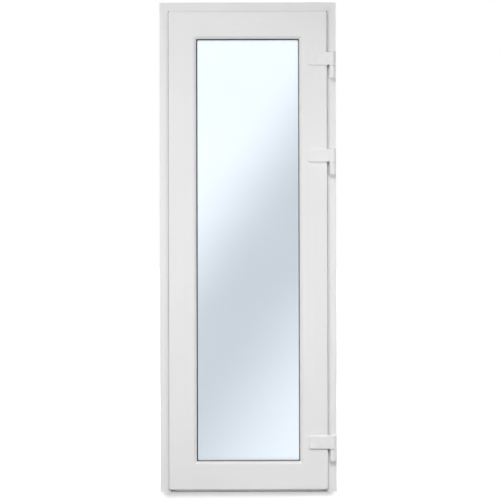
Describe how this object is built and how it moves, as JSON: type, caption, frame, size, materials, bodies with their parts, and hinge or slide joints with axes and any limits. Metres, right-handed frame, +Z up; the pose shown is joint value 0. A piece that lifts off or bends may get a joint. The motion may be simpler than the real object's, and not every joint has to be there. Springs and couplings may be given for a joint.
{
  "type": "balcony door",
  "caption": "White plastic balcony door: a fully glazed sash that swings outwards on barrel hinges, in a rebated frame with a low threshold.",
  "frame": {"origin": "middle of the threshold's underside, at half the frame's depth", "axes": "+Z up, -Y to the outside (the side in the picture), +X to the hinge side"},
  "size_m": [0.79, 0.149, 2.19],
  "materials": {
    "white_pvc": "smooth white extruded PVC-U, semi-gloss",
    "hinge_enamel": "white powder coat",
    "handle_enamel": "white powder coat",
    "glazing_rubber": "dark grey extruded rubber",
    "seal_rubber": "dark grey extruded rubber",
    "clear_glass": "clear float glass with a faint blue-grey reflection",
    "spacer_bar": "matt mill finish",
    "threshold_metal": "natural anodised",
    "threshold_core": "dark grey moulded plastic",
    "lock_steel": "zinc plated"
  },
  "bodies": {
    "frame": {"frame_head": "white_pvc", "hinge_jamb": "white_pvc", "lock_jamb": "white_pvc", "threshold_base": "threshold_core", "threshold_tread": "threshold_metal", "threshold_end_lock": "threshold_core", "threshold_end_hinge": "threshold_core", "frame_seal": "seal_rubber", "lower_keep": "lock_steel", "middle_keep": "lock_steel", "upper_keep": "lock_steel", "top_hinge_base": "hinge_enamel", "top_hinge_pin": "lock_steel", "middle_hinge_base": "hinge_enamel", "middle_hinge_pin": "lock_steel", "bottom_hinge_base": "hinge_enamel", "bottom_hinge_pin": "lock_steel"},
    "sash": {"sash_top_rail": "white_pvc", "sash_bottom_rail": "white_pvc", "sash_hinge_stile": "white_pvc", "sash_lock_stile": "white_pvc", "sash_seal": "seal_rubber", "outer_pane": "clear_glass", "middle_pane": "clear_glass", "inner_pane": "clear_glass", "outer_spacer": "spacer_bar", "inner_spacer": "spacer_bar", "outer_glazing_gasket": "glazing_rubber", "inner_glazing_gasket": "glazing_rubber", "lock_faceplate": "lock_steel", "lock_cams": "lock_steel", "handle_rose": "handle_enamel", "handle_lever": "handle_enamel", "glazing_bead_top": "white_pvc", "glazing_bead_bottom": "white_pvc", "glazing_bead_hinge": "white_pvc", "glazing_bead_lock": "white_pvc", "top_hinge_leaf": "hinge_enamel", "middle_hinge_leaf": "hinge_enamel", "bottom_hinge_leaf": "hinge_enamel"}
  },
  "joints": [
    {"name": "door_swing", "type": "hinge", "parent": "frame", "child": "sash", "pos_m": [0.379, -0.054, 0], "axis": [0, 0, 1], "range_deg": [0, 180]}
  ]
}
